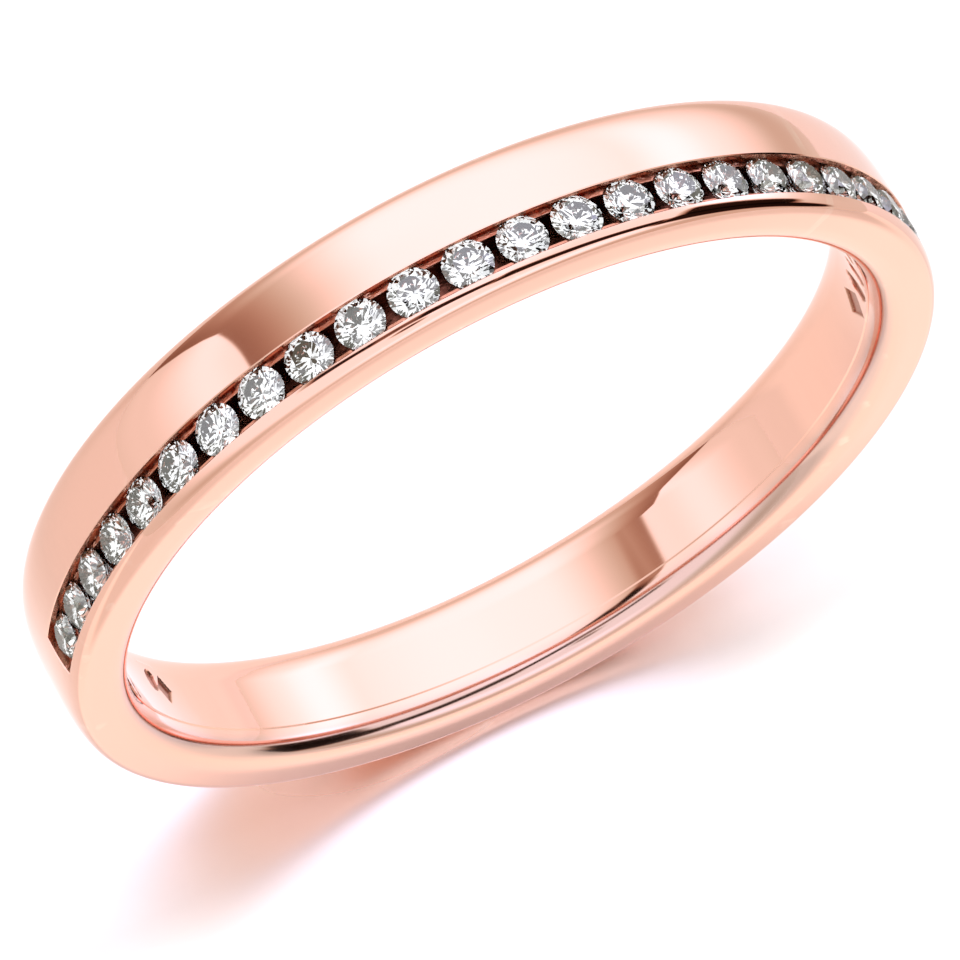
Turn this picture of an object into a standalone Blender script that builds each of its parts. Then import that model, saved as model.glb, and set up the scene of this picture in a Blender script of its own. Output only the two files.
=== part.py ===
"""A half-eternity wedding band: one rose-gold band with a row of round brilliants set in a channel.

The ring stands upright, as it does when it is shown for sale. The bore runs along Y, the middle of the
stone row is straight up along +Z, and the origin is the centre of the ring. Lengths are in metres.
"""

import math

import bmesh
import bpy
from mathutils import Matrix, Vector

MM = 0.001

# The band's section. Radii are measured from the bore's axis.
BORE_RADIUS = 8.50 * MM
BAND_WIDTH = 2.76 * MM
OUTER_RADIUS = 9.89 * MM
LAND_INNER_RADIUS = 9.20 * MM  # the flat side faces lie between these two radii
LAND_OUTER_RADIUS = 9.50 * MM
BORE_FLAT_HALF = 0.65 * MM  # the straight middle of the bore ends here in a fine crease
CREASE_STEP = 0.03 * MM
OUTER_SQUARENESS = 3.3  # exponent of the curve over the shoulders, where 2 is a plain ellipse
INNER_SQUARENESS = 2.9
SHOULDER_STEPS = 9
COMFORT_STEPS = 7
TURN_STEPS = 96

# The row of stones.
STONE_COUNT = 24
STONE_PITCH = math.radians(6.743)
STONE_DIAMETER = 1.00 * MM
ROW_OFFSET = -0.61 * MM  # the row lies off the middle of the band's width
GIRDLE_RADIUS = 9.70 * MM  # from the ring's centre to the stones' girdles

# A round brilliant's proportions, as shares of its diameter.
TABLE_SHARE = 0.57
STAR_REACH = 0.50  # how far the star facets reach from the table towards the girdle
GIRDLE_SHARE = 0.03
PAVILION_REACH = 0.77  # how far the lower halves reach from the girdle towards the culet
CROWN_ANGLE = math.radians(34.0)
PAVILION_ANGLE = math.radians(40.75)
MAINS = 8

# The channel that holds the row.
CHANNEL_WIDTH = 0.90 * MM  # the opening between the two rails
GROOVE_WIDTH = 1.03 * MM  # undercut for the girdles
GROOVE_LOW = 9.67 * MM
GROOVE_HIGH = 9.76 * MM
SLOT_WIDTH = 0.66 * MM  # the narrower slot below the bearing ledges
FLOOR_RADIUS = 9.14 * MM
END_MARGIN = 0.665 * MM  # from the last stone's centre to the end of the channel
CHANNEL_STEPS = 44
SEAT_GAP = 0.015 * MM  # between a stone's pavilion and its drilled seat
SEAT_SIDES = 20
SEAT_RIM_LIFT = 0.005 * MM  # the seat cutters start this far above the ledges
CUTTER_OVERSHOOT = 0.5 * MM  # the channel cutter reaches this far past the outside
SEAM_MERGE = 0.01 * MM
POINT_MERGE = 0.0001 * MM

RING_NAME = "wedding_band"


def clear_scene():
    for thing in list(bpy.data.objects):
        bpy.data.objects.remove(thing, do_unlink=True)


def make_collection(name, hidden=False):
    collection = bpy.data.collections.new(name)
    collection.hide_render = hidden
    bpy.context.scene.collection.children.link(collection)
    return collection


def make_material(name, colour, metallic, roughness, ior=1.5, transmission=0.0):
    material = bpy.data.materials.new(name)
    material.use_nodes = True
    shader = material.node_tree.nodes["Principled BSDF"]
    shader.inputs["Base Color"].default_value = (*colour, 1.0)
    shader.inputs["Metallic"].default_value = metallic
    shader.inputs["Roughness"].default_value = roughness
    shader.inputs["IOR"].default_value = ior
    shader.inputs["Transmission Weight"].default_value = transmission
    return material


def add_object(name, mesh, collection, material=None):
    thing = bpy.data.objects.new(name, mesh)
    collection.objects.link(thing)
    if material:
        mesh.materials.append(material)
    return thing


def mesh_from(shape, name):
    mesh = bpy.data.meshes.new(name)
    shape.to_mesh(mesh)
    shape.free()
    return mesh


def rounded_corner(centre_y, centre_r, reach_y, reach_r, squareness, steps):
    """Points of a quarter of a squared-off ellipse, from its side to its top."""
    points = []
    for step in range(steps + 1):
        angle = 0.5 * math.pi * step / steps
        across, up = math.cos(angle), math.sin(angle)
        stretch = (across**squareness + up**squareness) ** (-1 / squareness)
        points.append((centre_r + reach_r * stretch * up, centre_y + reach_y * stretch * across))
    return points


def band_section():
    """The closed outline of the band's section as (radius, y), from the far face over the outside and back."""
    half = BAND_WIDTH / 2
    outside = OUTER_RADIUS - LAND_OUTER_RADIUS
    shoulder = rounded_corner(0.0, LAND_OUTER_RADIUS, half, outside, OUTER_SQUARENESS, SHOULDER_STEPS)
    crease_y = BORE_FLAT_HALF + CREASE_STEP
    crease_r = BORE_RADIUS + CREASE_STEP
    comfort = rounded_corner(
        crease_y,
        LAND_INNER_RADIUS,
        half - crease_y,
        crease_r - LAND_INNER_RADIUS,
        INNER_SQUARENESS,
        COMFORT_STEPS,
    )
    over_the_top = shoulder + [(r, -y) for r, y in reversed(shoulder[:-1])]
    through_the_bore = comfort + [(BORE_RADIUS, BORE_FLAT_HALF)]
    return over_the_top + [(r, -y) for r, y in through_the_bore] + list(reversed(through_the_bore))


def make_band(collection, material):
    """The section turned once around the bore's axis."""
    outline = [Vector((r, y, 0.0)) for r, y in band_section()]
    shape = bmesh.new()
    corners = [shape.verts.new(point) for point in outline]
    for here, following in zip(corners, corners[1:] + corners[:1]):
        shape.edges.new((here, following))
    band = add_object("band", mesh_from(shape, "band"), collection, material)
    turn = band.modifiers.new("turn", "SCREW")
    turn.axis = "Y"
    turn.angle = 2 * math.pi
    turn.steps = TURN_STEPS
    turn.render_steps = TURN_STEPS
    turn.use_merge_vertices = True
    turn.merge_threshold = SEAM_MERGE
    turn.use_smooth_shade = True
    return band


def channel_outline():
    """One half of the channel cutter's section as (radius, distance from the row's middle)."""
    above = OUTER_RADIUS + CUTTER_OVERSHOOT
    return [
        (above, CHANNEL_WIDTH / 2),
        (GROOVE_HIGH, CHANNEL_WIDTH / 2),
        (GROOVE_HIGH, GROOVE_WIDTH / 2),
        (GROOVE_LOW, GROOVE_WIDTH / 2),
        (GROOVE_LOW, SLOT_WIDTH / 2),
        (FLOOR_RADIUS, SLOT_WIDTH / 2),
    ]


def make_channel_cutter(collection):
    """The stepped section swept along the row, with square ends."""
    reach = (STONE_COUNT - 1) * STONE_PITCH / 2 + END_MARGIN / GIRDLE_RADIUS
    half = channel_outline()
    outline = half + [(r, -across) for r, across in reversed(half)]
    start = Matrix.Rotation(-reach, 4, "Y")
    shape = bmesh.new()
    corners = [shape.verts.new(start @ Vector((0.0, ROW_OFFSET + across, r))) for r, across in outline]
    face = shape.faces.new(corners)
    bmesh.ops.spin(
        shape,
        geom=[face],
        cent=(0, 0, 0),
        axis=(0, 1, 0),
        dvec=(0, 0, 0),
        angle=2 * reach,
        steps=CHANNEL_STEPS,
    )
    bmesh.ops.recalc_face_normals(shape, faces=shape.faces)
    return add_cutter("channel_cutter", shape, collection)


def add_cutter(name, shape, collection):
    cutter = add_object(name, mesh_from(shape, name), collection)
    cutter.hide_render = True
    cutter.display_type = "WIRE"
    return cutter


def stone_places():
    """A matrix for each stone: its place on the row, with its local +Z pointing out of the ring."""
    out_to_girdle = Matrix.Translation((0, ROW_OFFSET, GIRDLE_RADIUS))
    first = -(STONE_COUNT - 1) / 2
    places = []
    for number in range(STONE_COUNT):
        turn = (first + number) * STONE_PITCH
        places.append(Matrix.Rotation(turn, 4, "Y") @ out_to_girdle)
    return places


def make_seat_cutter(collection):
    """The cones that are drilled into the ledges, one below each stone."""
    rim = GROOVE_LOW + SEAT_RIM_LIFT - GIRDLE_RADIUS
    drop = STONE_DIAMETER / 2 * math.tan(PAVILION_ANGLE) + SEAT_GAP - (-rim - girdle_half())
    radius = drop / math.tan(PAVILION_ANGLE)
    shape = bmesh.new()
    for place in stone_places():
        bmesh.ops.create_cone(
            shape,
            cap_ends=True,
            segments=SEAT_SIDES,
            radius1=0.0,
            radius2=radius,
            depth=drop,
            matrix=place @ Matrix.Translation((0, 0, rim - drop / 2)),
        )
    bmesh.ops.remove_doubles(shape, verts=shape.verts, dist=POINT_MERGE)
    bmesh.ops.recalc_face_normals(shape, faces=shape.faces)
    return add_cutter("seat_cutter", shape, collection)


def cut(target, cutter):
    boolean = target.modifiers.new("cut_" + cutter.name, "BOOLEAN")
    boolean.operation = "DIFFERENCE"
    boolean.object = cutter
    boolean.solver = "EXACT"


def girdle_half():
    return GIRDLE_SHARE * STONE_DIAMETER / 2


def around(radius, height, turn):
    return Vector((radius * math.cos(turn), radius * math.sin(turn), height))


def make_brilliant_mesh(material):
    """A round brilliant of 57 facets. Its corners follow from the crown and pavilion angles, and it is
    convex, so its facets are the hull of its corners."""
    girdle = STONE_DIAMETER / 2
    table = TABLE_SHARE * girdle
    step = math.pi / MAINS
    crown_top = girdle_half() + (girdle - table) * math.tan(CROWN_ANGLE)
    star = table * math.cos(step) + STAR_REACH * (girdle - table * math.cos(step))
    star_height = crown_top - (star * math.cos(step) - table) * math.tan(CROWN_ANGLE)
    culet = -girdle_half() - girdle * math.tan(PAVILION_ANGLE)
    lower = girdle * (1 - PAVILION_REACH)
    lower_height = culet + lower * math.cos(step) * math.tan(PAVILION_ANGLE)
    shape = bmesh.new()
    for main in range(MAINS):
        turn = 2 * main * step
        shape.verts.new(around(table, crown_top, turn))
        shape.verts.new(around(star, star_height, turn + step))
        shape.verts.new(around(lower, lower_height, turn + step))
    for side in range(2 * MAINS):
        shape.verts.new(around(girdle, girdle_half(), side * step))
        shape.verts.new(around(girdle, -girdle_half(), side * step))
    shape.verts.new(Vector((0, 0, culet)))
    bmesh.ops.convex_hull(shape, input=shape.verts)
    bmesh.ops.dissolve_limit(shape, angle_limit=math.radians(0.05), verts=shape.verts, edges=shape.edges)
    bmesh.ops.recalc_face_normals(shape, faces=shape.faces)
    mesh = mesh_from(shape, "round_brilliant")
    mesh.materials.append(material)
    return mesh


def main():
    clear_scene()
    ring = make_collection(RING_NAME)
    cutters = make_collection("cutters", hidden=True)
    rose_gold = make_material("rose_gold", (0.93, 0.66, 0.54), metallic=1.0, roughness=0.06)
    diamond = make_material("diamond", (0.97, 0.98, 1.0), 0.0, 0.0, ior=2.42, transmission=1.0)

    band = make_band(ring, rose_gold)
    cut(band, make_channel_cutter(cutters))
    cut(band, make_seat_cutter(cutters))

    brilliant = make_brilliant_mesh(diamond)
    for number, place in enumerate(stone_places(), start=1):
        stone = add_object(f"diamond_{number:02d}", brilliant, ring)
        stone.matrix_world = place


main()
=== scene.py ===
# %% [markdown]
# # A channel-set wedding band
#
# This script dresses a finished ring design. The design gives one band of rose gold and 24 round
# brilliants, all at their real size and place. Here the band is modelled again with fine curves, each
# stone is cut facet by facet, and both get the finishes that a jeweller would give them.
#
# The ring stands upright. Its bore runs along Y, the stone row is centred straight up along Z, and
# the origin is the centre of the ring.

# %% Load the design
import math

import bmesh
import bpy
from mathutils import Matrix, Vector


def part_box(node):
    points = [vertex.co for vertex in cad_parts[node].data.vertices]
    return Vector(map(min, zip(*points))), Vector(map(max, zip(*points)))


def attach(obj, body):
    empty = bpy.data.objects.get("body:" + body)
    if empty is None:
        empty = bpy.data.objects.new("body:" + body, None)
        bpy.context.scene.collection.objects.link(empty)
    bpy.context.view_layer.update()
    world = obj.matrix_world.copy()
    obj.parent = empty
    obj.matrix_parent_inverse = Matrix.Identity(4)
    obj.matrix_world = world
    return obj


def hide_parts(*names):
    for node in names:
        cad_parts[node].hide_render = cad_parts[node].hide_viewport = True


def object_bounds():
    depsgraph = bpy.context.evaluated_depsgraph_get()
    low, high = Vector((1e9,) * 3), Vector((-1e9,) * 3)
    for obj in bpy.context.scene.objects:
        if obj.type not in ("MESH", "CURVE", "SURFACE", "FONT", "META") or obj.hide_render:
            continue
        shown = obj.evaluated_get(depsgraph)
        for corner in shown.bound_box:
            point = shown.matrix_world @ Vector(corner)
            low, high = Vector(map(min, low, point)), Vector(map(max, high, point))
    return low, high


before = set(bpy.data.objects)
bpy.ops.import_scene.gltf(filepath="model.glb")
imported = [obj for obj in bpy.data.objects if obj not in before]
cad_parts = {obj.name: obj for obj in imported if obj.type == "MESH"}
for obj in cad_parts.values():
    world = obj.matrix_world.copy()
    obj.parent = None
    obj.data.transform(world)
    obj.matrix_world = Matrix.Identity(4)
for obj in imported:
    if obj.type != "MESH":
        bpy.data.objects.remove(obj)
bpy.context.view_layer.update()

MM = 0.001

# %% [markdown]
# ## The sizes that everything follows
#
# A maker works from a few sizes: the finger size, the width and thickness of the band, and the
# stones. The outside comes from the design's own box. The rest are the sizes that the channel and
# the curves are cut to.

# %% Band and stone sizes
_, band_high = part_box("band")
OUTER_RADIUS = band_high.z
HALF_WIDTH = band_high.y
BORE_RADIUS = 8.50 * MM
LAND_INNER_RADIUS = 9.20 * MM
LAND_OUTER_RADIUS = 9.50 * MM
BORE_FLAT_HALF = 0.65 * MM
CREASE_STEP = 0.03 * MM
OUTER_SQUARENESS = 3.3
INNER_SQUARENESS = 2.9

STONES = sorted(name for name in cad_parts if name.startswith("diamond_"))
STONE_PITCH = math.radians(6.743)
STONE_RADIUS = 0.50 * MM
ROW_OFFSET = -0.61 * MM
GIRDLE_LEVEL = 9.70 * MM
END_MARGIN = 0.665 * MM
ROW_REACH = (len(STONES) - 1) * STONE_PITCH / 2 + END_MARGIN / GIRDLE_LEVEL
CHANNEL_HALF = 0.45 * MM
BEVEL_WIDTH = 0.02 * MM
print("outer radius", round(OUTER_RADIUS / MM, 3), "mm, stones", len(STONES))
print("the channel runs", round(math.degrees(ROW_REACH), 2), "degrees to each side of the top")

# %% [markdown]
# ## Camera
#
# The ring is small, so the camera is a macro lens a hand's breadth away. It looks down steeply from
# the row's side and a little from the left. The clip distance has to be shorter than the default,
# because the front of the ring is nearer than that.

# %% Camera
CAMERA_AZIMUTH = math.radians(-25.89)
CAMERA_ELEVATION = math.radians(63.57)
CAMERA_ROLL = math.radians(-1.43)
CAMERA_DISTANCE = 97.3 * MM
AIM_RIGHT = -0.112 * MM
AIM_UP = -0.402 * MM
LENS = 178.99
SENSOR = 36.0
CLIP_START = 5 * MM
CLIP_END = 2.0


def camera_axes():
    """The camera's right, up and backward directions."""
    flat, rise = math.cos(CAMERA_ELEVATION), math.sin(CAMERA_ELEVATION)
    back = Vector((math.sin(CAMERA_AZIMUTH) * flat, -math.cos(CAMERA_AZIMUTH) * flat, rise))
    right = Vector((math.cos(CAMERA_AZIMUTH), math.sin(CAMERA_AZIMUTH), 0.0))
    roll = Matrix.Rotation(CAMERA_ROLL, 3, back)
    return roll @ right, roll @ back.cross(right), back


def make_camera():
    right, up, back = camera_axes()
    lens = bpy.data.cameras.new("macro_camera")
    lens.lens = LENS
    lens.sensor_width = SENSOR
    lens.clip_start = CLIP_START
    lens.clip_end = CLIP_END
    camera = bpy.data.objects.new("macro_camera", lens)
    camera.matrix_world = Matrix((right, up, back)).transposed().to_4x4()
    camera.location = right * AIM_RIGHT + up * AIM_UP + back * CAMERA_DISTANCE
    bpy.context.scene.collection.objects.link(camera)
    bpy.context.scene.camera = camera
    return camera


camera = make_camera()
print("camera at", [round(value / MM, 1) for value in camera.location], "mm")

# %% [markdown]
# ## Small helpers
#
# Each piece starts as a bmesh and ends as an object at the origin, with its place in its mesh.

# %% Helpers for pieces


def piece_from(shape, name, *materials):
    """Makes the bmesh a shown piece that rides with the ring."""
    mesh = bpy.data.meshes.new(name)
    shape.to_mesh(mesh)
    shape.free()
    for material in materials:
        mesh.materials.append(material)
    piece = bpy.data.objects.new(name, mesh)
    bpy.context.scene.collection.objects.link(piece)
    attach(piece, "root")
    return piece


def on_ring(turn, y, radius):
    """A point by its angle from the top of the ring, its place across the band and its radius."""
    return Vector((radius * math.sin(turn), y, radius * math.cos(turn)))


def ring_place(point):
    """The angle from the top, the place across the band and the radius of a point."""
    return math.atan2(point.x, point.z), point.y, math.hypot(point.x, point.z)


# %% [markdown]
# ## The band's section
#
# The band is turned, so it is one outline carried round the bore's axis. The outside is a low
# dome with well rounded shoulders. Inside, the bore is straight in its middle and rolls out to each
# side, which is what makes such a band comfortable. On the row's side, which is the near one here,
# a fine crease marks where the roll starts.
#
# A squared-off ellipse gives each shoulder in one formula: an exponent of 2 is a plain ellipse, and
# a larger one is fuller at the corner.

# %% The outline of the section
SHOULDER_STEPS = 22
COMFORT_STEPS = 18
BORE_STEPS = 12
DOME_EXPONENT = 1 / OUTER_SQUARENESS
FAR_FLAT = 0.50 * MM
FAR_SQUARENESS = 2.6
EDGE_CLEARANCE = 0.012 * MM


def dome_radius(y):
    """The radius of the outside at a place across the band."""
    share = 1 - (abs(y) / HALF_WIDTH) ** OUTER_SQUARENESS
    return LAND_OUTER_RADIUS + (OUTER_RADIUS - LAND_OUTER_RADIUS) * share**DOME_EXPONENT


def corner_curve(centre_y, centre_r, reach_y, reach_r, squareness, steps):
    """(radius, y) along a quarter of a squared-off ellipse, from its side to its top."""
    points = []
    for step in range(steps + 1):
        angle = 0.5 * math.pi * step / steps
        across, up = math.cos(angle), math.sin(angle)
        stretch = (across**squareness + up**squareness) ** (-1 / squareness)
        points.append((centre_r + reach_r * stretch * up, centre_y + reach_y * stretch * across))
    return points


def dome_places(edges):
    """Places across the outside, from side to side, with one at each edge of the channel."""
    quarter = corner_curve(0, 0, HALF_WIDTH, 1, OUTER_SQUARENESS, SHOULDER_STEPS)
    places = [y for _, y in quarter] + [-y for _, y in quarter[:-1]]
    places = [y for y in places if all(abs(y - edge) > EDGE_CLEARANCE for edge in edges)]
    return sorted(places + list(edges), reverse=True)


def near_bore_curve():
    """(radius, y) from the side over the comfort curve to the crease, then to the middle of the bore."""
    crease_y = BORE_FLAT_HALF + CREASE_STEP
    crease_r = BORE_RADIUS + CREASE_STEP
    reach = HALF_WIDTH - crease_y
    depth = crease_r - LAND_INNER_RADIUS
    points = corner_curve(crease_y, LAND_INNER_RADIUS, reach, depth, INNER_SQUARENESS, COMFORT_STEPS)
    shares = [1 - 2 * step / BORE_STEPS for step in range(BORE_STEPS // 2)]
    return points + [(BORE_RADIUS, BORE_FLAT_HALF * share) for share in shares]


def far_bore_curve():
    """The same on the far side, where the comfort curve runs into the bore with no crease."""
    reach = HALF_WIDTH - FAR_FLAT
    depth = BORE_RADIUS - LAND_INNER_RADIUS
    points = corner_curve(FAR_FLAT, LAND_INNER_RADIUS, reach, depth, FAR_SQUARENESS, COMFORT_STEPS)
    steps = BORE_STEPS // 2 - 1
    return points + [(BORE_RADIUS, FAR_FLAT * (1 - step / steps)) for step in range(1, steps)]


RIM_HALF = CHANNEL_HALF + BEVEL_WIDTH
rim_edges = (ROW_OFFSET + RIM_HALF, ROW_OFFSET - RIM_HALF)
outside = [(dome_radius(y), y) for y in dome_places(rim_edges)]
near_side = [(r, -y) for r, y in near_bore_curve()]
section = outside + near_side + [(BORE_RADIUS, 0.0)] + list(reversed(far_bore_curve()))
print("the section has", len(section), "points")

# %% [markdown]
# ## Turning the band
#
# The outline is spun twice: once along the stretch that holds the stones, with fine steps, and once
# along the plain rest of the ring. That puts a clean row of edges at each end of the channel. The
# plain steps are as fine as the others where the two meet, and wider in between. The faces where the
# channel goes are then taken away, and the edge that they leave is the rim.

# %% Turn the band and open the channel
ROW_STEPS = 480
PLAIN_STEPS = 280
MERGE = 0.0005 * MM


def eased(share, end_rate):
    """A share from 0 to 1 that grows at end_rate at both ends and faster in the middle."""
    return share - (1 - end_rate) * share * (1 - share) * (1 - 2 * share)


def grade_plain_steps(shape):
    """Makes the plain steps as fine as the row's own where they meet, so no reflection jumps there."""
    rest = 2 * math.pi - 2 * ROW_REACH
    end_rate = (2 * ROW_REACH / ROW_STEPS) / (rest / PLAIN_STEPS)
    for corner in shape.verts:
        turn, y, radius = ring_place(corner.co)
        share = (turn % (2 * math.pi) - ROW_REACH) / rest
        if 0 < share < 1:
            corner.co = on_ring(ROW_REACH + eased(share, end_rate) * rest, y, radius)


def turned_band():
    shape = bmesh.new()
    corners = [shape.verts.new(on_ring(-ROW_REACH, y, r)) for r, y in section]
    edges = [shape.edges.new(pair) for pair in zip(corners, corners[1:] + corners[:1])]
    swept = corners + edges
    row = 2 * ROW_REACH
    for angle, steps in ((row, ROW_STEPS), (2 * math.pi - row, PLAIN_STEPS)):
        turned = bmesh.ops.spin(
            shape, geom=swept, cent=(0, 0, 0), axis=(0, 1, 0), dvec=(0, 0, 0), angle=angle, steps=steps
        )
        swept = turned["geom_last"]
    grade_plain_steps(shape)
    bmesh.ops.remove_doubles(shape, verts=shape.verts, dist=MERGE)
    bmesh.ops.recalc_face_normals(shape, faces=shape.faces)
    return shape


def in_channel(face):
    turn, y, radius = ring_place(face.calc_center_median())
    return abs(turn) < ROW_REACH and abs(y - ROW_OFFSET) < RIM_HALF and radius > LAND_OUTER_RADIUS


band = turned_band()
bmesh.ops.delete(band, geom=[face for face in band.faces if in_channel(face)], context="FACES")
rim = [edge for edge in band.edges if edge.is_boundary]
print("band:", len(band.faces), "faces, rim:", len(rim), "edges")

# %% [markdown]
# ## Cutting the channel
#
# The channel is cut in steps, as on the bench: a bright bevel along the rim, the wall, an undercut
# that grips the stones, a ledge with a seat drilled for each stone, and a deeper slot below.
#
# Every step extrudes the rim's edges once more and then moves the new corners. A corner keeps its
# share of the length and of the width, so the ends stay square. The last step closes on the middle
# line of the floor.

# %% The steps of the channel
GROOVE_HIGH = 9.76 * MM
GROOVE_LOW = 9.67 * MM
GROOVE_HALF = 0.515 * MM
SLOT_HALF = 0.33 * MM
FLOOR_LEVEL = 9.14 * MM
SEAT_RADIUS = 0.498 * MM
PAVILION_ANGLE = math.radians(40.75)
BEVEL_DROP = 0.02 * MM
SLIVER = MERGE / 5
POLISHED, CUT = 0, 1


def stone_turns():
    middle = (len(STONES) - 1) / 2
    return [(number - middle) * STONE_PITCH for number in range(len(STONES))]


def along_from_stone(turn):
    """Distance along the row from the nearest stone's centre."""
    return min(abs(turn - stone) for stone in stone_turns()) * GROOVE_LOW


def seat_half(turn):
    """Half the width between the ledges: wide at a stone's seat, narrow between two seats."""
    seat = math.sqrt(max(SEAT_RADIUS**2 - along_from_stone(turn) ** 2, 0.0))
    return max(seat, SLOT_HALF)


def seat_level(turn):
    """The radius at which a seat's cone meets the slot's wall."""
    reach = math.hypot(along_from_stone(turn), SLOT_HALF)
    return GROOVE_LOW - max(SEAT_RADIUS - reach, 0.0) * math.tan(PAVILION_ANGLE)


CHANNEL_STEPS = (
    # half the width, how much longer each end is than the rim, level
    (lambda turn: CHANNEL_HALF, -0.02 * MM, None),
    (lambda turn: CHANNEL_HALF, -0.02 * MM, lambda turn: GROOVE_HIGH),
    (lambda turn: GROOVE_HALF, 0.01 * MM, lambda turn: GROOVE_HIGH - 0.004 * MM),
    (lambda turn: GROOVE_HALF, 0.01 * MM, lambda turn: GROOVE_LOW),
    (seat_half, -0.08 * MM, lambda turn: GROOVE_LOW - 0.002 * MM),
    (lambda turn: SLOT_HALF, -0.16 * MM, seat_level),
    (lambda turn: SLOT_HALF - 0.01 * MM, -0.17 * MM, lambda turn: FLOOR_LEVEL),
    (lambda turn: 0.0, -0.45 * MM, lambda turn: FLOOR_LEVEL),
)


def rim_half(turn):
    """Half the width of the rim, which is the same all along."""
    return RIM_HALF


def cut_channel(shape, edges):
    """Extrudes the rim's edges down through the steps of the channel."""
    half_before, reach_before = rim_half, ROW_REACH
    for half_width, longer, level in CHANNEL_STEPS:
        grown = bmesh.ops.extrude_edge_only(shape, edges=edges)["geom"]
        reach = ROW_REACH + longer / GIRDLE_LEVEL
        for corner in (item for item in grown if isinstance(item, bmesh.types.BMVert)):
            turn, y, radius = ring_place(corner.co)
            share = (y - ROW_OFFSET) / half_before(turn)
            turn = turn * reach / reach_before
            radius = level(turn) if level else radius - BEVEL_DROP
            corner.co = on_ring(turn, ROW_OFFSET + share * half_width(turn), radius)
        for face in (item for item in grown if isinstance(item, bmesh.types.BMFace)):
            face.material_index = CUT if level else POLISHED
        edges = [item for item in grown if isinstance(item, bmesh.types.BMEdge) and item.is_boundary]
        half_before, reach_before = half_width, reach


cut_channel(band, rim)
bmesh.ops.remove_doubles(band, verts=band.verts, dist=MERGE)
bmesh.ops.dissolve_degenerate(band, edges=band.edges, dist=SLIVER)
open_left = sum(edge.is_boundary for edge in band.edges)
print("band with its channel:", len(band.faces), "faces, open edges:", open_left)

# %% [markdown]
# ## Punched marks in the bore
#
# A jeweller punches small marks inside a band. Here they are plain shapes with no meaning: an oval,
# two leaves and a lozenge on one side, and an oval and a lozenge on the other. The bore's faces are
# made finer there, and the corners inside each shape are pushed into the metal.
#
# Each shape is given by a function that is 1 on its outline and smaller inside.

# %% Punch the marks
MARK_DEPTH = 0.05 * MM
MARK_SLOPE = 0.035 * MM
MARK_CUTS = 4
MARK_MARGIN = 0.12
LEAF_WIDEST = 1.5
LEAF_TAPER = 0.7


def lozenge(along, across):
    return abs(along) + abs(across)


def oval(along, across):
    return math.hypot(along, across)


def leaf(along, across):
    return math.hypot(along * (LEAF_WIDEST + LEAF_TAPER * across), across)


MARKS = (
    # shape, degrees from the top, then in mm: place across the band, half length, half width
    (oval, 78.8, -0.02, 0.14, 0.22),
    (leaf, 81.6, -0.20, 0.24, 0.40),
    (leaf, 86.0, -0.20, 0.32, 0.41),
    (lozenge, 91.2, -0.20, 0.40, 0.42),
    (oval, -115.3, 0.30, 0.22, 0.28),
    (lozenge, -118.2, 0.14, 0.28, 0.36),
)


def mark_depth(turn, y):
    """How deep the punches reach at a place in the bore."""
    depth = 0.0
    for shape_of, centre, centre_y, half_along, half_across in MARKS:
        along = (turn - math.radians(centre)) * BORE_RADIUS / (half_along * MM)
        across = (y - centre_y * MM) / (half_across * MM)
        inside_by = (1 - shape_of(along, across)) * min(half_along, half_across) * MM
        depth = max(depth, MARK_DEPTH * max(0.0, min(1.0, inside_by / MARK_SLOPE)))
    return depth


def near_a_mark(face):
    """Whether a face of the bore is inside a mark or within the margin around it."""
    turn, y, radius = ring_place(face.calc_center_median())
    if radius > BORE_RADIUS + CREASE_STEP / 2:
        return False
    for _, centre, centre_y, half_along, half_across in MARKS:
        along = abs(turn - math.radians(centre)) * BORE_RADIUS
        across = abs(y - centre_y * MM)
        if along < (half_along + MARK_MARGIN) * MM and across < (half_across + MARK_MARGIN) * MM:
            return True
    return False


fine = [edge for face in band.faces if near_a_mark(face) for edge in face.edges]
bmesh.ops.subdivide_edges(band, edges=list(set(fine)), cuts=MARK_CUTS, use_grid_fill=True)
punched = 0
for corner in band.verts:
    turn, y, radius = ring_place(corner.co)
    if radius < BORE_RADIUS + CREASE_STEP / 4:
        depth = mark_depth(turn, y)
        corner.co = on_ring(turn, y, BORE_RADIUS + depth)
        punched += depth > 0
bmesh.ops.recalc_face_normals(band, faces=band.faces)
print("punched", punched, "corners, band faces:", len(band.faces))

# %% [markdown]
# ## Finishes as node groups
#
# Polished metal is never perfect. It has hairlines from the last buff, a slight unevenness in its
# gloss, and a softer gleam where an edge is worn. Cut metal has tool marks. Each of these is one
# node group, built once and placed in every material that needs it with values of its own.

# %% A helper for node groups


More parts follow.
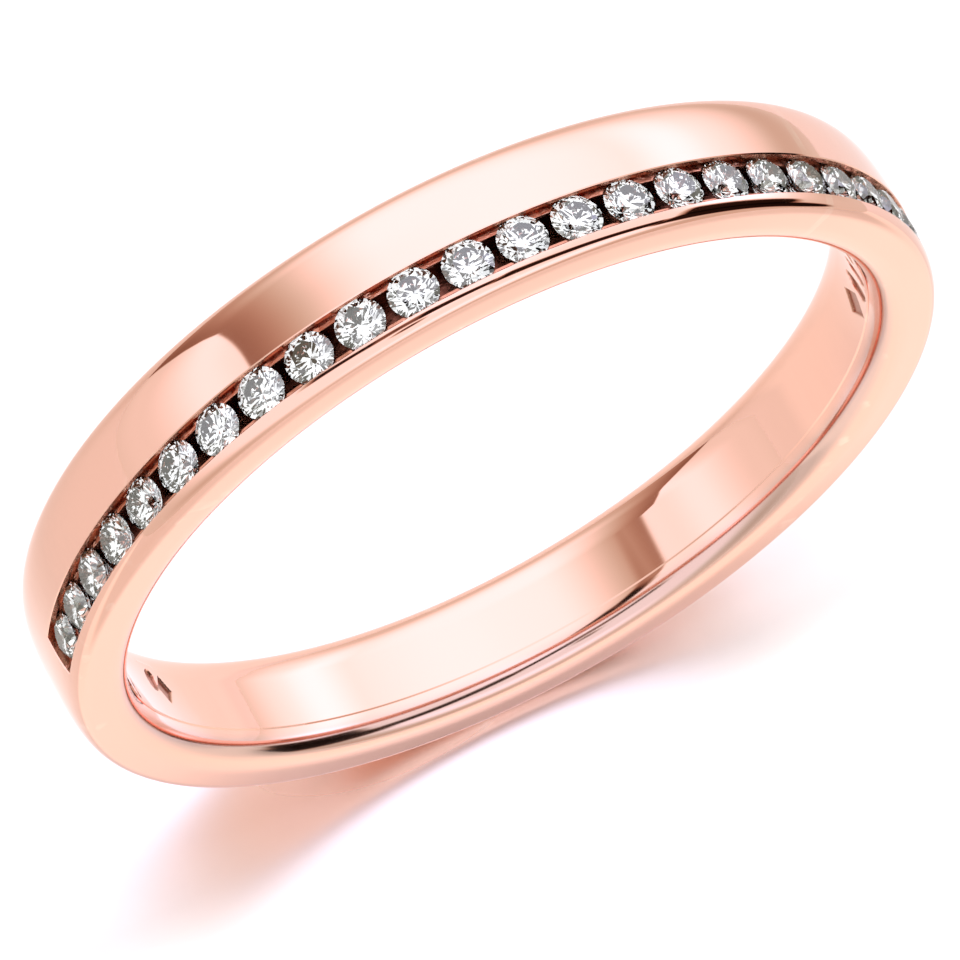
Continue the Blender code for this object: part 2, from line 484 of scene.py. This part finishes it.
class Nodes:
    """Adds nodes to a tree, with their values, and links them."""

    def __init__(self, tree):
        self.tree = tree

    def add(self, kind, values=None, **settings):
        node = self.tree.nodes.new("ShaderNode" + kind)
        for name, value in settings.items():
            setattr(node, name, value)
        for name, value in (values or {}).items():
            self.put(node.inputs[name], value)
        return node

    def put(self, socket, value):
        if isinstance(value, bpy.types.NodeSocket):
            self.tree.links.new(value, socket)
        else:
            socket.default_value = value

    def math(self, operation, *values):
        node = self.tree.nodes.new("ShaderNodeMath")
        node.operation = operation
        for socket, value in zip(node.inputs, values):
            self.put(socket, value)
        return node.outputs[0]

    def vector(self, operation, *values):
        node = self.tree.nodes.new("ShaderNodeVectorMath")
        node.operation = operation
        for socket, value in zip(node.inputs, values):
            self.put(socket, value)
        return node.outputs["Value" if operation in ("DOT_PRODUCT", "LENGTH") else "Vector"]

    def remap(self, value, low, high, to_low=0.0, to_high=1.0, smooth=False):
        node = self.add("MapRange", interpolation_type="SMOOTHSTEP" if smooth else "LINEAR")
        for name, setting in zip(
            ("Value", "From Min", "From Max", "To Min", "To Max"), (value, low, high, to_low, to_high)
        ):
            self.put(node.inputs[name], setting)
        return node.outputs["Result"]

    def mix_colour(self, factor, first, second):
        node = self.add("Mix", data_type="RGBA")
        for index, value in ((0, factor), (6, first), (7, second)):
            self.put(node.inputs[index], value)
        return node.outputs[2]

    def group(self, group, values):
        node = self.tree.nodes.new("ShaderNodeGroup")
        node.node_tree = group
        for name, value in values.items():
            self.put(node.inputs[name], value)
        return node


def new_group(name, inputs, outputs):
    """An empty node group with those number inputs and outputs."""
    group = bpy.data.node_groups.new(name, "ShaderNodeTree")
    for label, value in inputs.items():
        socket = group.interface.new_socket(name=label, in_out="INPUT", socket_type="NodeSocketFloat")
        socket.default_value = value
    for label in outputs:
        group.interface.new_socket(name=label, in_out="OUTPUT", socket_type="NodeSocketFloat")
    nodes = Nodes(group)
    return group, nodes, group.nodes.new("NodeGroupInput"), group.nodes.new("NodeGroupOutput")


def ring_coordinates(nodes):
    """Distance round the ring, across it and out from its axis, in millimetres."""
    place = nodes.add("TexCoord").outputs["Object"]
    parts = nodes.add("SeparateXYZ", {"Vector": nodes.vector("SCALE", place)})
    parts.inputs["Vector"].links[0].from_node.inputs["Scale"].default_value = 1 / MM
    x, y, z = parts.outputs
    squares = nodes.math("ADD", nodes.math("MULTIPLY", x, x), nodes.math("MULTIPLY", z, z))
    radius = nodes.math("SQRT", squares)
    turn = nodes.math("MULTIPLY", nodes.math("ARCTAN2", x, z), OUTER_RADIUS / MM)
    return turn, y, radius


# %% [markdown]
# Hairlines run round the ring, because the buffing wheel did. The noise is stretched a great deal
# along the ring, and only its highest streaks become scratches.

# %% Hairlines
STREAK_RANGE = (0.60, 0.72)
RADIUS_BEND = 0.8
RADIUS_STEP = 0.5


def make_hairlines():
    group, nodes, given, result = new_group(
        "hairlines", {"Fineness": 30.0, "Stretch": 25.0, "Amount": 0.2}, ("Height", "Streaks")
    )
    turn, y, radius = ring_coordinates(nodes)
    along = nodes.math("DIVIDE", turn, given.outputs["Stretch"])
    bent = nodes.math("ADD", y, nodes.math("MULTIPLY", radius, RADIUS_BEND))
    out = nodes.math("MULTIPLY", radius, RADIUS_STEP)
    place = nodes.add("CombineXYZ", {"X": along, "Y": bent, "Z": out})
    scale = given.outputs["Fineness"]
    noise = nodes.add("TexNoise", {"Vector": place.outputs[0], "Scale": scale, "Detail": 3.0})
    value = noise.outputs["Fac"]
    streaks = nodes.remap(value, *STREAK_RANGE)
    height = nodes.math("MULTIPLY", nodes.math("SUBTRACT", value, streaks), given.outputs["Amount"])
    group.links.new(height, result.inputs["Height"])
    group.links.new(streaks, result.inputs["Streaks"])
    return group


hairlines = make_hairlines()
print("group", hairlines.name)

# %% [markdown]
# Gloss is uneven in soft patches a millimetre or two across, where fingers and the cloth have been.

# %% Uneven gloss
GLOSS_NOISE = (0.3, 0.7)


def make_uneven_gloss():
    group, nodes, given, result = new_group(
        "uneven_gloss", {"Patch": 2.0, "Low": 0.03, "High": 0.08}, ("Value",)
    )
    place = nodes.vector("SCALE", nodes.add("TexCoord").outputs["Object"])
    place.node.inputs["Scale"].default_value = 1 / MM
    scale = nodes.math("DIVIDE", 1.0, given.outputs["Patch"])
    noise = nodes.add("TexNoise", {"Vector": place, "Scale": scale, "Detail": 3.0, "Roughness": 0.55})
    value = nodes.remap(noise.outputs["Fac"], *GLOSS_NOISE, given.outputs["Low"], given.outputs["High"])
    group.links.new(value, result.inputs["Value"])
    return group


uneven_gloss = make_uneven_gloss()
print("group", uneven_gloss.name)

# %% [markdown]
# An edge that rubs against other rings and pockets is duller and a little paler than the face beside
# it. Pointiness is high where the surface turns outward, so it finds the edges.

# %% Worn edges
WEAR_SCALE = 1.7
WEAR_NOISE = (0.35, 0.65)


def make_worn_edges():
    group, nodes, given, result = new_group("worn_edges", {"Start": 0.51, "Full": 0.56}, ("Mask",))
    point = nodes.add("NewGeometry").outputs["Pointiness"]
    mask = nodes.remap(point, given.outputs["Start"], given.outputs["Full"])
    turn, y, radius = ring_coordinates(nodes)
    place = nodes.add("CombineXYZ", {"X": turn, "Y": y, "Z": radius})
    patches = nodes.add("TexNoise", {"Vector": place.outputs[0], "Scale": WEAR_SCALE, "Detail": 2.0})
    worn = nodes.math("MULTIPLY", mask, nodes.remap(patches.outputs["Fac"], *WEAR_NOISE))
    group.links.new(worn, result.inputs["Mask"])
    return group


worn_edges = make_worn_edges()
print("group", worn_edges.name)

# %% [markdown]
# ## Rose gold
#
# Rose gold is gold with a good deal of copper. As a metal it has no colour of its own besides what
# it does to a reflection, so Metallic is 1 and the base colour is its tint. The polished outside is
# very smooth. The edge where the bore rolls out on the row's side is painted greyer and darker, as
# painted shade, and is a little duller. The stamped marks are darker and duller where they are sunk.
#
# The channel is left as the cutter made it, so it is rougher. Its walls are painted darker and
# redder, as painted shade for the light that bounces in them several times before it gets out. Deep
# in the slot the metal is painted nearly black, as painted shade.

# %% Rose gold, polished and as cut
ROSE_GOLD = (0.90, 0.52, 0.395, 1.0)
ROSE_GOLD_PALE = (0.93, 0.60, 0.47, 1.0)
ROSE_GOLD_SHADED = (0.62, 0.27, 0.17, 1.0)
ROSE_GOLD_STAMPED = (0.42, 0.18, 0.115, 1.0)
ROSE_GOLD_EDGE_SHADE = (0.68, 0.46, 0.38, 1.0)
SLOT_SHADE = (0.16, 0.055, 0.035, 1.0)
SLOT_SHADE_FULL = GROOVE_LOW - 0.10 * MM
SLOT_SHADE_START = GROOVE_LOW + 0.01 * MM
SHARP_ANGLE = math.radians(28)
# Where the painted edge shade starts and where it is full, in mm from the axis and across the band.
EDGE_SHADE_RADIUS = (8.80, 8.62)
EDGE_SHADE_SIDE = (-0.72, -1.02)
# How deep a stamp is when it starts to darken and when it is fully dark.
STAMPED_DEPTH = (0.004 * MM, 0.03 * MM)
# The limits of the stamped band of the bore, in mm from the axis and across the band.
STAMPED_RADIUS = (8.70, 8.65)
STAMPED_SIDE = (0.63, 0.60)


def new_material(name):
    material = bpy.data.materials.new(name)
    material.use_nodes = True
    return material, Nodes(material.node_tree), material.node_tree.nodes["Principled BSDF"]


def rougher(nodes, rough, mask, amount):
    """Adds some roughness where the mask is 1."""
    return nodes.math("ADD", rough, nodes.math("MULTIPLY", mask, amount))


def edge_shade_mask(nodes, y, radius):
    """The edge where the bore rolls out on the row's side, where painted shade goes."""
    inside = nodes.remap(radius, *EDGE_SHADE_RADIUS, smooth=True)
    return nodes.math("MULTIPLY", inside, nodes.remap(y, *EDGE_SHADE_SIDE, smooth=True))


def stamped_mask(nodes, y, radius):
    """The sunken parts of the marks in the bore."""
    shallow, deep = (depth + BORE_RADIUS for depth in STAMPED_DEPTH)
    sunk = nodes.remap(radius, shallow / MM, deep / MM)
    sunk = nodes.math("MULTIPLY", sunk, nodes.remap(radius, *STAMPED_RADIUS))
    return nodes.math("MULTIPLY", sunk, nodes.remap(nodes.math("ABSOLUTE", y), *STAMPED_SIDE))


def make_polished_gold():
    material, nodes, shader = new_material("polished_rose_gold")
    lines = nodes.group(hairlines, {"Fineness": 24.0, "Stretch": 30.0, "Amount": 0.12})
    gloss = nodes.group(uneven_gloss, {"Patch": 2.5, "Low": 0.035, "High": 0.06})
    wear = nodes.group(worn_edges, {"Start": 0.53, "Full": 0.60})
    _, y, radius = ring_coordinates(nodes)
    edge_shade = edge_shade_mask(nodes, y, radius)
    stamped = stamped_mask(nodes, y, radius)
    tint = nodes.mix_colour(wear.outputs["Mask"], ROSE_GOLD, ROSE_GOLD_PALE)
    # Painted shade: the edge where the bore rolls out is greyer and darker, and a little rougher.
    tint = nodes.mix_colour(edge_shade, tint, ROSE_GOLD_EDGE_SHADE)
    # The stamped marks are darker where they are sunk.
    tint = nodes.mix_colour(stamped, tint, ROSE_GOLD_STAMPED)
    rough = rougher(nodes, gloss.outputs["Value"], lines.outputs["Streaks"], 0.02)
    rough = rougher(nodes, rough, wear.outputs["Mask"], 0.06)
    rough = rougher(nodes, rough, edge_shade, 0.08)
    rough = rougher(nodes, rough, stamped, 0.20)
    scratch = {"Strength": 0.25, "Distance": 0.0006 * MM, "Height": lines.outputs["Height"]}
    bump = nodes.add("Bump", scratch)
    nodes.put(shader.inputs["Base Color"], tint)
    nodes.put(shader.inputs["Roughness"], rough)
    nodes.put(shader.inputs["Normal"], bump.outputs["Normal"])
    shader.inputs["Metallic"].default_value = 1.0
    return material


def make_cut_gold():
    material, nodes, shader = new_material("cut_rose_gold")
    lines = nodes.group(hairlines, {"Fineness": 9.0, "Stretch": 3.0, "Amount": 1.0})
    gloss = nodes.group(uneven_gloss, {"Patch": 0.15, "Low": 0.14, "High": 0.40})
    _, _, radius = ring_coordinates(nodes)
    # Painted shade: darker from the ledge down and nearly black deep in the slot.
    unshaded = nodes.remap(radius, SLOT_SHADE_FULL / MM, SLOT_SHADE_START / MM, smooth=True)
    # Painted shade: the walls are darker and redder, with brighter tool-mark streaks.
    wall = nodes.mix_colour(lines.outputs["Streaks"], ROSE_GOLD_SHADED, ROSE_GOLD)
    tint = nodes.mix_colour(unshaded, SLOT_SHADE, wall)
    tool_mark = {"Strength": 0.8, "Distance": 0.02 * MM, "Height": lines.outputs["Height"]}
    bump = nodes.add("Bump", tool_mark)
    nodes.put(shader.inputs["Base Color"], tint)
    nodes.put(shader.inputs["Roughness"], gloss.outputs["Value"])
    nodes.put(shader.inputs["Normal"], bump.outputs["Normal"])
    shader.inputs["Metallic"].default_value = 1.0
    return material


polished_gold = make_polished_gold()
cut_gold = make_cut_gold()
polished_band = piece_from(band, "polished_band", polished_gold, cut_gold)
polished_band.data.shade_smooth()
polished_band.data.set_sharp_from_angle(angle=SHARP_ANGLE)
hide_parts("band")
triangles = sum(len(face.vertices) - 2 for face in polished_band.data.polygons)
print("polished band:", triangles, "triangles")

# %% [markdown]
# ## Cutting a brilliant
#
# A round brilliant has 57 facets. A cutter starts with a round blank and grinds one flat at a time,
# at a set angle and index. Here the blank is a cylinder and each facet is one bisecting plane. The
# mains and the table have set angles. Three points give each of the other planes: two on the girdle
# or the table, and the corner where facets meet.
#
# The stone is cut at a radius of 1, because the operators' tolerances suit that size, and then it
# is shrunk to its place.

# %% The planes of a brilliant
TABLE = 0.57
STAR_REACH = 0.50
LOWER_REACH = 0.77
GIRDLE_HALF = 0.03
CROWN_ANGLE = math.radians(34.0)
MAINS = 8
EIGHTH = 2 * math.pi / MAINS


def around(radius, turn, height):
    return Vector((radius * math.cos(turn), radius * math.sin(turn), height))


def crown_height(radius, off_main):
    """Height of the crown's main facets at a radius and an angle from the nearest one's middle."""
    return GIRDLE_HALF + (1 - radius * math.cos(off_main)) * math.tan(CROWN_ANGLE)


def brilliant_planes():
    """A point and an outward normal for each facet: the mains first, then the halves and stars."""
    planes = []
    table_height = GIRDLE_HALF + (1 - TABLE) * math.tan(CROWN_ANGLE)
    depth = -GIRDLE_HALF - math.tan(PAVILION_ANGLE)
    half = EIGHTH / 2
    flat = TABLE * math.cos(half)
    star = flat + STAR_REACH * (1 - flat)
    lower = 1 - LOWER_REACH
    for side in range(MAINS):
        main = side * EIGHTH
        crown_normal = around(math.sin(CROWN_ANGLE), main, math.cos(CROWN_ANGLE))
        pavilion_normal = around(math.sin(PAVILION_ANGLE), main, -math.cos(PAVILION_ANGLE))
        planes.append((around(1, main, GIRDLE_HALF), crown_normal))
        planes.append((Vector((0, 0, depth)), pavilion_normal))
    for side in range(MAINS):
        main = side * EIGHTH
        between = main + half
        star_corner = around(star, between, crown_height(star, half))
        lower_drop = (1 - lower * math.cos(half)) * math.tan(PAVILION_ANGLE)
        lower_corner = around(lower, between, -GIRDLE_HALF - lower_drop)
        for turn in (main, main + EIGHTH):
            for level, corner in ((GIRDLE_HALF, star_corner), (-GIRDLE_HALF, lower_corner)):
                planes.append(plane_through(around(1, turn, level), around(1, between, level), corner))
        table_corners = [around(TABLE, turn, table_height) for turn in (main, main + EIGHTH)]
        planes.append(plane_through(*table_corners, star_corner))
    planes.append((Vector((0, 0, table_height)), Vector((0, 0, 1))))
    return planes


def plane_through(first, second, third):
    """The first point, and the outward normal of the plane through all three."""
    normal = (second - first).cross(third - first).normalized()
    return first, normal if normal.dot(first) > 0 else -normal


# %% Cut the stone
GIRDLE_SIDES = 64
SNAP = 2e-4


def cut_brilliant():
    stone = bmesh.new()
    blank = {"radius1": 1.0, "radius2": 1.0, "depth": 2.0, "matrix": Matrix.Identity(4)}
    bmesh.ops.create_cone(stone, cap_ends=True, segments=GIRDLE_SIDES, **blank)
    for point, normal in brilliant_planes():
        everything = list(stone.verts) + list(stone.edges) + list(stone.faces)
        bmesh.ops.bisect_plane(
            stone, geom=everything, dist=SNAP, plane_co=point, plane_no=normal, clear_outer=True
        )
        opened = [edge for edge in stone.edges if edge.is_boundary]
        if opened:
            bmesh.ops.contextual_create(stone, geom=opened)
    bmesh.ops.remove_doubles(stone, verts=stone.verts, dist=SNAP)
    bmesh.ops.recalc_face_normals(stone, faces=stone.faces)
    return stone


brilliant = cut_brilliant()
open_left = sum(edge.is_boundary for edge in brilliant.edges)
print("brilliant:", len(brilliant.faces), "faces, open edges:", open_left)

# %% [markdown]
# ## Diamond
#
# Diamond bends light far more than glass does, and that is what makes it flash. The shader is glass
# with diamond's index of refraction. Its polish is nearly perfect, but a small stone still shows
# faint polishing lines. A very light tint keeps the stones neutral beside the pink metal.

# %% Diamond
DIAMOND_IOR = 2.417
CLEAR = (0.985, 1.0, 0.975, 1.0)
CLEAR_STREAK = (0.955, 0.97, 0.945, 1.0)
GLINT = (1.0, 0.98, 0.86, 1.0)
STONE_TURN = 2.4


def make_diamond():
    material, nodes, shader = new_material("clear_diamond")
    gloss = nodes.group(uneven_gloss, {"Patch": 0.12, "Low": 0.0, "High": 0.014})
    lines = nodes.group(hairlines, {"Fineness": 14.0, "Stretch": 4.0, "Amount": 0.1})
    tint = nodes.mix_colour(lines.outputs["Streaks"], CLEAR, CLEAR_STREAK)
    nodes.put(shader.inputs["Base Color"], tint)
    nodes.put(shader.inputs["Roughness"], gloss.outputs["Value"])
    shader.inputs["Metallic"].default_value = 0.0
    shader.inputs["Transmission Weight"].default_value = 1.0
    shader.inputs["IOR"].default_value = DIAMOND_IOR
    shader.inputs["Specular Tint"].default_value = GLINT
    return material


diamond = make_diamond()


def make_stones():
    """One brilliant for each place on the row, turned a little differently in its seat."""
    stones = []
    for number, (node, turn) in enumerate(zip(STONES, stone_turns()), 1):
        shape = brilliant.copy()
        own_turn = Matrix.Rotation(number * STONE_TURN, 4, "Z")
        to_girdle = Matrix.Translation((0, ROW_OFFSET, GIRDLE_LEVEL))
        place = Matrix.Rotation(turn, 4, "Y") @ to_girdle @ own_turn @ Matrix.Scale(STONE_RADIUS, 4)
        bmesh.ops.transform(shape, matrix=place, verts=shape.verts)
        stone = piece_from(shape, f"brilliant_{number:02d}", diamond)
        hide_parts(node)
        stones.append(stone)
    return stones


stones = make_stones()
brilliant.free()
print("stones:", len(stones))

# %% [markdown]
# ## Studio
#
# A polished ring shows its surroundings, so the studio is designed as much as the ring is. It is a
# pale dome, brighter above than at the horizon, and every box, card and gap in it is a soft-edged
# shape that makes the dome brighter or darker there. All of them are given by directions as seen
# from the ring: an angle round from +X towards +Y, and an angle above the floor.

# %% Helpers for the studio
# How soft the edges are. GAP_SOFT is a share of the gap's width, the others are cosines or sines.
BOX_BACK = (0.0, 0.05)
GAP_SOFT = 0.25
GAP_END = (0.012, 0.004)
CARD_CRISP = 0.006
CARD_SIDE = (0.26, 0.42)
HOOD_CRISP = 0.002


def aim(azimuth, elevation):
    """A direction by its angle round from +X towards +Y and its angle above the floor, in degrees."""
    turn, rise = math.radians(azimuth), math.radians(elevation)
    return Vector((math.cos(turn) * math.cos(rise), math.sin(turn) * math.cos(rise), math.sin(rise)))


def share_of(nodes, light, mask, gain):
    """Multiplies the light by a gain where the mask is 1."""
    return nodes.math("MULTIPLY", light, nodes.remap(mask, 0.0, 1.0, 1.0, gain))


def box_mask(nodes, direction, azimuth, elevation, width, height, soft):
    """A soft-edged rectangle, by its middle, its half width and height and its softness, 0 to 1."""
    out = aim(azimuth, elevation)
    side = Vector((0, 0, 1)).cross(out).normalized()
    ahead = nodes.vector("DOT_PRODUCT", direction, out)
    mask = nodes.remap(ahead, *BOX_BACK)
    for axis, half in ((side, width), (out.cross(side), height)):
        offset = nodes.math("DIVIDE", nodes.vector("DOT_PRODUCT", direction, axis), ahead)
        off = nodes.math("ABSOLUTE", offset)
        reach = math.tan(math.radians(half))
        edge = nodes.remap(off, reach * (1 + soft), reach * (1 - soft), smooth=True)
        mask = nodes.math("MULTIPLY", mask, edge)
    return mask


def gap_mask(nodes, direction, start, end, half_width):
    """A straight dark gap between two boxes, from one direction to another."""
    first, last = aim(*start), aim(*end)
    across = first.cross(last).normalized()
    middle = (first + last).normalized()
    off = nodes.math("ABSOLUTE", nodes.vector("DOT_PRODUCT", direction, across))
    reach = math.sin(math.radians(half_width))
    thin = nodes.remap(off, reach * (1 + GAP_SOFT), reach * (1 - GAP_SOFT), smooth=True)
    end = middle.dot(first)
    along = nodes.vector("DOT_PRODUCT", direction, middle)
    within = nodes.remap(along, end - GAP_END[0], end + GAP_END[1])
    return nodes.math("MULTIPLY", thin, within)


def beyond_edge(nodes, direction, start, end):
    """How far a direction is to the right of the line from one direction up to another."""
    across = aim(*start).cross(aim(*end)).normalized()
    return nodes.vector("DOT_PRODUCT", direction, across)


def card_mask(nodes, direction, corners, fade):
    """A dark card with a crisp stepped edge through its corners. It fades away to the right."""
    side, top, upper = (beyond_edge(nodes, direction, *pair) for pair in zip(corners, corners[1:]))
    beyond = nodes.math("MAXIMUM", side, top)
    sides = [nodes.remap(value, -CARD_CRISP, CARD_CRISP) for value in (beyond, upper)]
    crisp = nodes.math("MULTIPLY", *sides)
    soft = nodes.remap(beyond, math.sin(math.radians(fade)), 0.0, smooth=True)
    ahead = nodes.vector("DOT_PRODUCT", direction, aim(corners[0][0], 0))
    near = nodes.remap(ahead, *CARD_SIDE, smooth=True)
    return nodes.math("MULTIPLY", nodes.math("MULTIPLY", crisp, soft), near)


# %% [markdown]
# The key light is a large box behind the ring and above it, with a lower one to its right. A dark
# card stands at the back left. It gives the deep brown sweep with one crisp edge. The narrow gaps
# between the boxes above and the front of the dome draw the black lines along the ring's shoulder.
#
# A reflection in gold looks warmer in the shade and paler in the light, so what a mirror sees is
# tinted by its own brightness. The stones need more contrast than the metal does: what they bend
# towards the horizon, or back towards the lens, is darker.

# %% Build the studio
HORIZON_LIGHT = 0.86
DOME_LIGHT = 1.34
DOME_RISE = (0.12, 0.52)
BOXES = (
    # azimuth, elevation, half width, half height, softness, gain
    (74, 53, 40, 24, 0.8, 1.30),
    (20, 12, 26, 12, 0.9, 1.76),
    (4, 19, 9, 14, 0.5, 1.35),
    (300, 84, 20, 14, 0.6, 1.22),
    (285, 30, 30, 12, 0.6, 1.25),
    (150, 14, 26, 16, 0.5, 1.2),
    (28, -12, 16, 5, 0.9, 0.80),
    (218, 14, 20, 9, 0.8, 0.76),
    (305, 0, 24, 14, 0.8, 0.78),
)
GAPS = (
    # from azimuth and elevation, to azimuth and elevation, half width
    ((190, 52), (212, 67), 3.2),
    ((212, 67), (232, 74), 4.0),
    ((232, 74), (298, 69), 4.4),
    ((298, 69), (330, 32), 6.5),
    ((330, 32), (336, -14), 10.0),
    ((347, 32), (348, 0), 8.0),
    ((150, 52), (154, 64), 3.5),
    ((154, 64), (165, 84), 4.5),
)
GAP_GAIN = 0.008
LENS_HOOD_HALF = 4.0
CARD_CORNERS = ((126, -5), (136.5, 27), (147.5, 36.5), (156, 58))
CARD_FADE = 36
CARD_GAIN = 0.16
NEUTRAL_LIGHT = 0.92
WARM_SHADE = 1.35
COOL_LIGHT = 0.30
STONE_HOOD_HALF = 19.0
STONE_HORIZON = 0.16
STONE_RISE = (0.55, 0.1)
WHITE = (1.0, 1.0, 1.0, 1.0)


def hood_mask(nodes, toward_lens, half_angle):
    """A round dark patch about the lens."""
    rim = math.cos(math.radians(half_angle))
    return nodes.remap(toward_lens, rim - HOOD_CRISP, rim + HOOD_CRISP)


def tinted(nodes, light):
    """The light as a colour: warm where it is below the neutral level, cool where it is above."""
    over = nodes.math("SUBTRACT", light, NEUTRAL_LIGHT)
    under = nodes.math("MINIMUM", over, 0.0)
    warm = nodes.math("MULTIPLY", nodes.math("MULTIPLY", under, under), WARM_SHADE)
    red = nodes.math("MULTIPLY", light, nodes.math("ADD", warm, 1.0))
    blue = nodes.math("MULTIPLY", light, nodes.math("MULTIPLY_ADD", over, COOL_LIGHT, 1.0))
    return nodes.add("CombineXYZ", {"X": red, "Y": light, "Z": blue}).outputs[0]


def grey(nodes, light):
    return nodes.add("CombineXYZ", {"X": light, "Y": light, "Z": light}).outputs[0]


def make_studio():
    world = bpy.data.worlds.new("studio")
    world.use_nodes = True
    bpy.context.scene.world = world
    nodes = Nodes(world.node_tree)
    direction = nodes.vector("NORMALIZE", nodes.add("TexCoord").outputs["Generated"])
    height = nodes.add("SeparateXYZ", {"Vector": direction}).outputs["Z"]
    light = nodes.remap(height, *DOME_RISE, HORIZON_LIGHT, DOME_LIGHT, smooth=True)
    for *place, gain in BOXES:
        light = share_of(nodes, light, box_mask(nodes, direction, *place), gain)
    light = share_of(nodes, light, card_mask(nodes, direction, CARD_CORNERS, CARD_FADE), CARD_GAIN)
    for gap in GAPS:
        light = share_of(nodes, light, gap_mask(nodes, direction, *gap), GAP_GAIN)
    toward_lens = nodes.vector("DOT_PRODUCT", direction, camera.location.normalized())
    light = share_of(nodes, light, hood_mask(nodes, toward_lens, LENS_HOOD_HALF), GAP_GAIN)
    in_stone = share_of(nodes, light, hood_mask(nodes, toward_lens, STONE_HOOD_HALF), GAP_GAIN)
    in_stone = share_of(nodes, in_stone, nodes.remap(height, *STONE_RISE, smooth=True), STONE_HORIZON)
    path = nodes.add("LightPath").outputs
    shown = nodes.mix_colour(path["Is Glossy Ray"], grey(nodes, light), tinted(nodes, light))
    shown = nodes.mix_colour(path["Is Transmission Ray"], shown, grey(nodes, in_stone))
    shown = nodes.mix_colour(path["Is Camera Ray"], shown, WHITE)
    nodes.put(world.node_tree.nodes["Background"].inputs["Color"], shown)


make_studio()
bpy.context.scene.view_settings.view_transform = "Standard"
print("studio with", len(BOXES), "boxes,", len(GAPS), "gaps and a card")

# %% [markdown]
# ## Floor
#
# The ring stands on a plain sheet of white acrylic. The sheet is glossy in the middle and goes matt
# outwards, so the ring has a soft reflection that is clear where it touches and fades with distance.
# A faint mottling makes it read as a real surface. A pool of light is painted on it in front of the
# ring as a glow of the sheet, and the sheet is painted darker away from the ring, as painted shade.
# The sheet ends a little to the right, and its edge draws a soft line in the metal. Far from the
# ring the sheet burns out to white, as an overexposed backdrop does.

# %% Floor
SHEET_HALF = 0.3
SHEET_RIGHT = 45 * MM
ACRYLIC_WHITE = (0.93, 0.915, 0.90)
FALL_RANGE = (12 * MM, 25 * MM)
FALL_SHADE = 0.87
GLOSS_MIDDLE = (-2.5 * MM, 0.0, 0.0)
GLOSS_SHAPE = (0.9, 2.0, 0.0)
ROUGH_RANGE = (1 * MM, 9 * MM)
ROUGH_NEAR, ROUGH_FAR = 0.22, 0.42
MIRROR_RANGE = (4 * MM, 11 * MM)
MIRROR_NEAR, MIRROR_FAR = 0.95, 0.15
POOL_LIGHT = 0.32
POOL_START = (-2 * MM, -4 * MM)
POOL_END = (-13 * MM, -8 * MM)
FAR_GLARE = 0.25
GLARE_RANGE = (12 * MM, 24 * MM)


def make_floor():
    shape = bmesh.new()
    middle = Matrix.Translation((SHEET_RIGHT - SHEET_HALF, 0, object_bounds()[0][2]))
    bmesh.ops.create_grid(shape, x_segments=4, y_segments=4, size=SHEET_HALF, matrix=middle)
    material, nodes, shader = new_material("white_acrylic")
    mottle = nodes.group(uneven_gloss, {"Patch": 1.2, "Low": 0.98, "High": 1.0}).outputs["Value"]
    place = nodes.vector("MULTIPLY", nodes.add("TexCoord").outputs["Object"], (1.0, 1.0, 0.0))
    from_ring = nodes.vector("LENGTH", place)
    # Painted shade: the sheet's colour gets darker with distance from the ring.
    fall = nodes.remap(from_ring, *FALL_RANGE, 1.0, FALL_SHADE, smooth=True)
    shade = nodes.math("MULTIPLY", mottle, fall)
    tint = nodes.vector("SCALE", ACRYLIC_WHITE)
    nodes.put(tint.node.inputs["Scale"], shade)
    off_middle = nodes.vector("SUBTRACT", place, GLOSS_MIDDLE)
    away = nodes.vector("LENGTH", nodes.vector("MULTIPLY", off_middle, GLOSS_SHAPE))
    rough = nodes.remap(away, *ROUGH_RANGE, ROUGH_NEAR, ROUGH_FAR)
    mirror = nodes.remap(away, *MIRROR_RANGE, MIRROR_NEAR, MIRROR_FAR, smooth=True)
    nodes.put(shader.inputs["Base Color"], tint)
    nodes.put(shader.inputs["Roughness"], rough)
    nodes.put(shader.inputs["Metallic"], mirror)
    y = nodes.add("SeparateXYZ", {"Vector": place}).outputs["Y"]
    # Painted light: a pool of light in front of the ring, made as a glow of the sheet.
    pool = nodes.remap(y, *POOL_START, 0.0, POOL_LIGHT, smooth=True)
    pool = nodes.math("MULTIPLY", pool, nodes.remap(y, *POOL_END, smooth=True))
    far = nodes.remap(from_ring, *GLARE_RANGE, 0.0, FAR_GLARE, smooth=True)
    glare = nodes.math("MULTIPLY", far, nodes.add("LightPath").outputs["Is Camera Ray"])
    nodes.put(shader.inputs["Emission Strength"], nodes.math("MAXIMUM", pool, glare))
    shader.inputs["Emission Color"].default_value = (*ACRYLIC_WHITE, 1.0)
    mesh = bpy.data.meshes.new("floor")
    shape.to_mesh(mesh)
    shape.free()
    mesh.materials.append(material)
    floor = bpy.data.objects.new("floor", mesh)
    bpy.context.scene.collection.objects.link(floor)


make_floor()
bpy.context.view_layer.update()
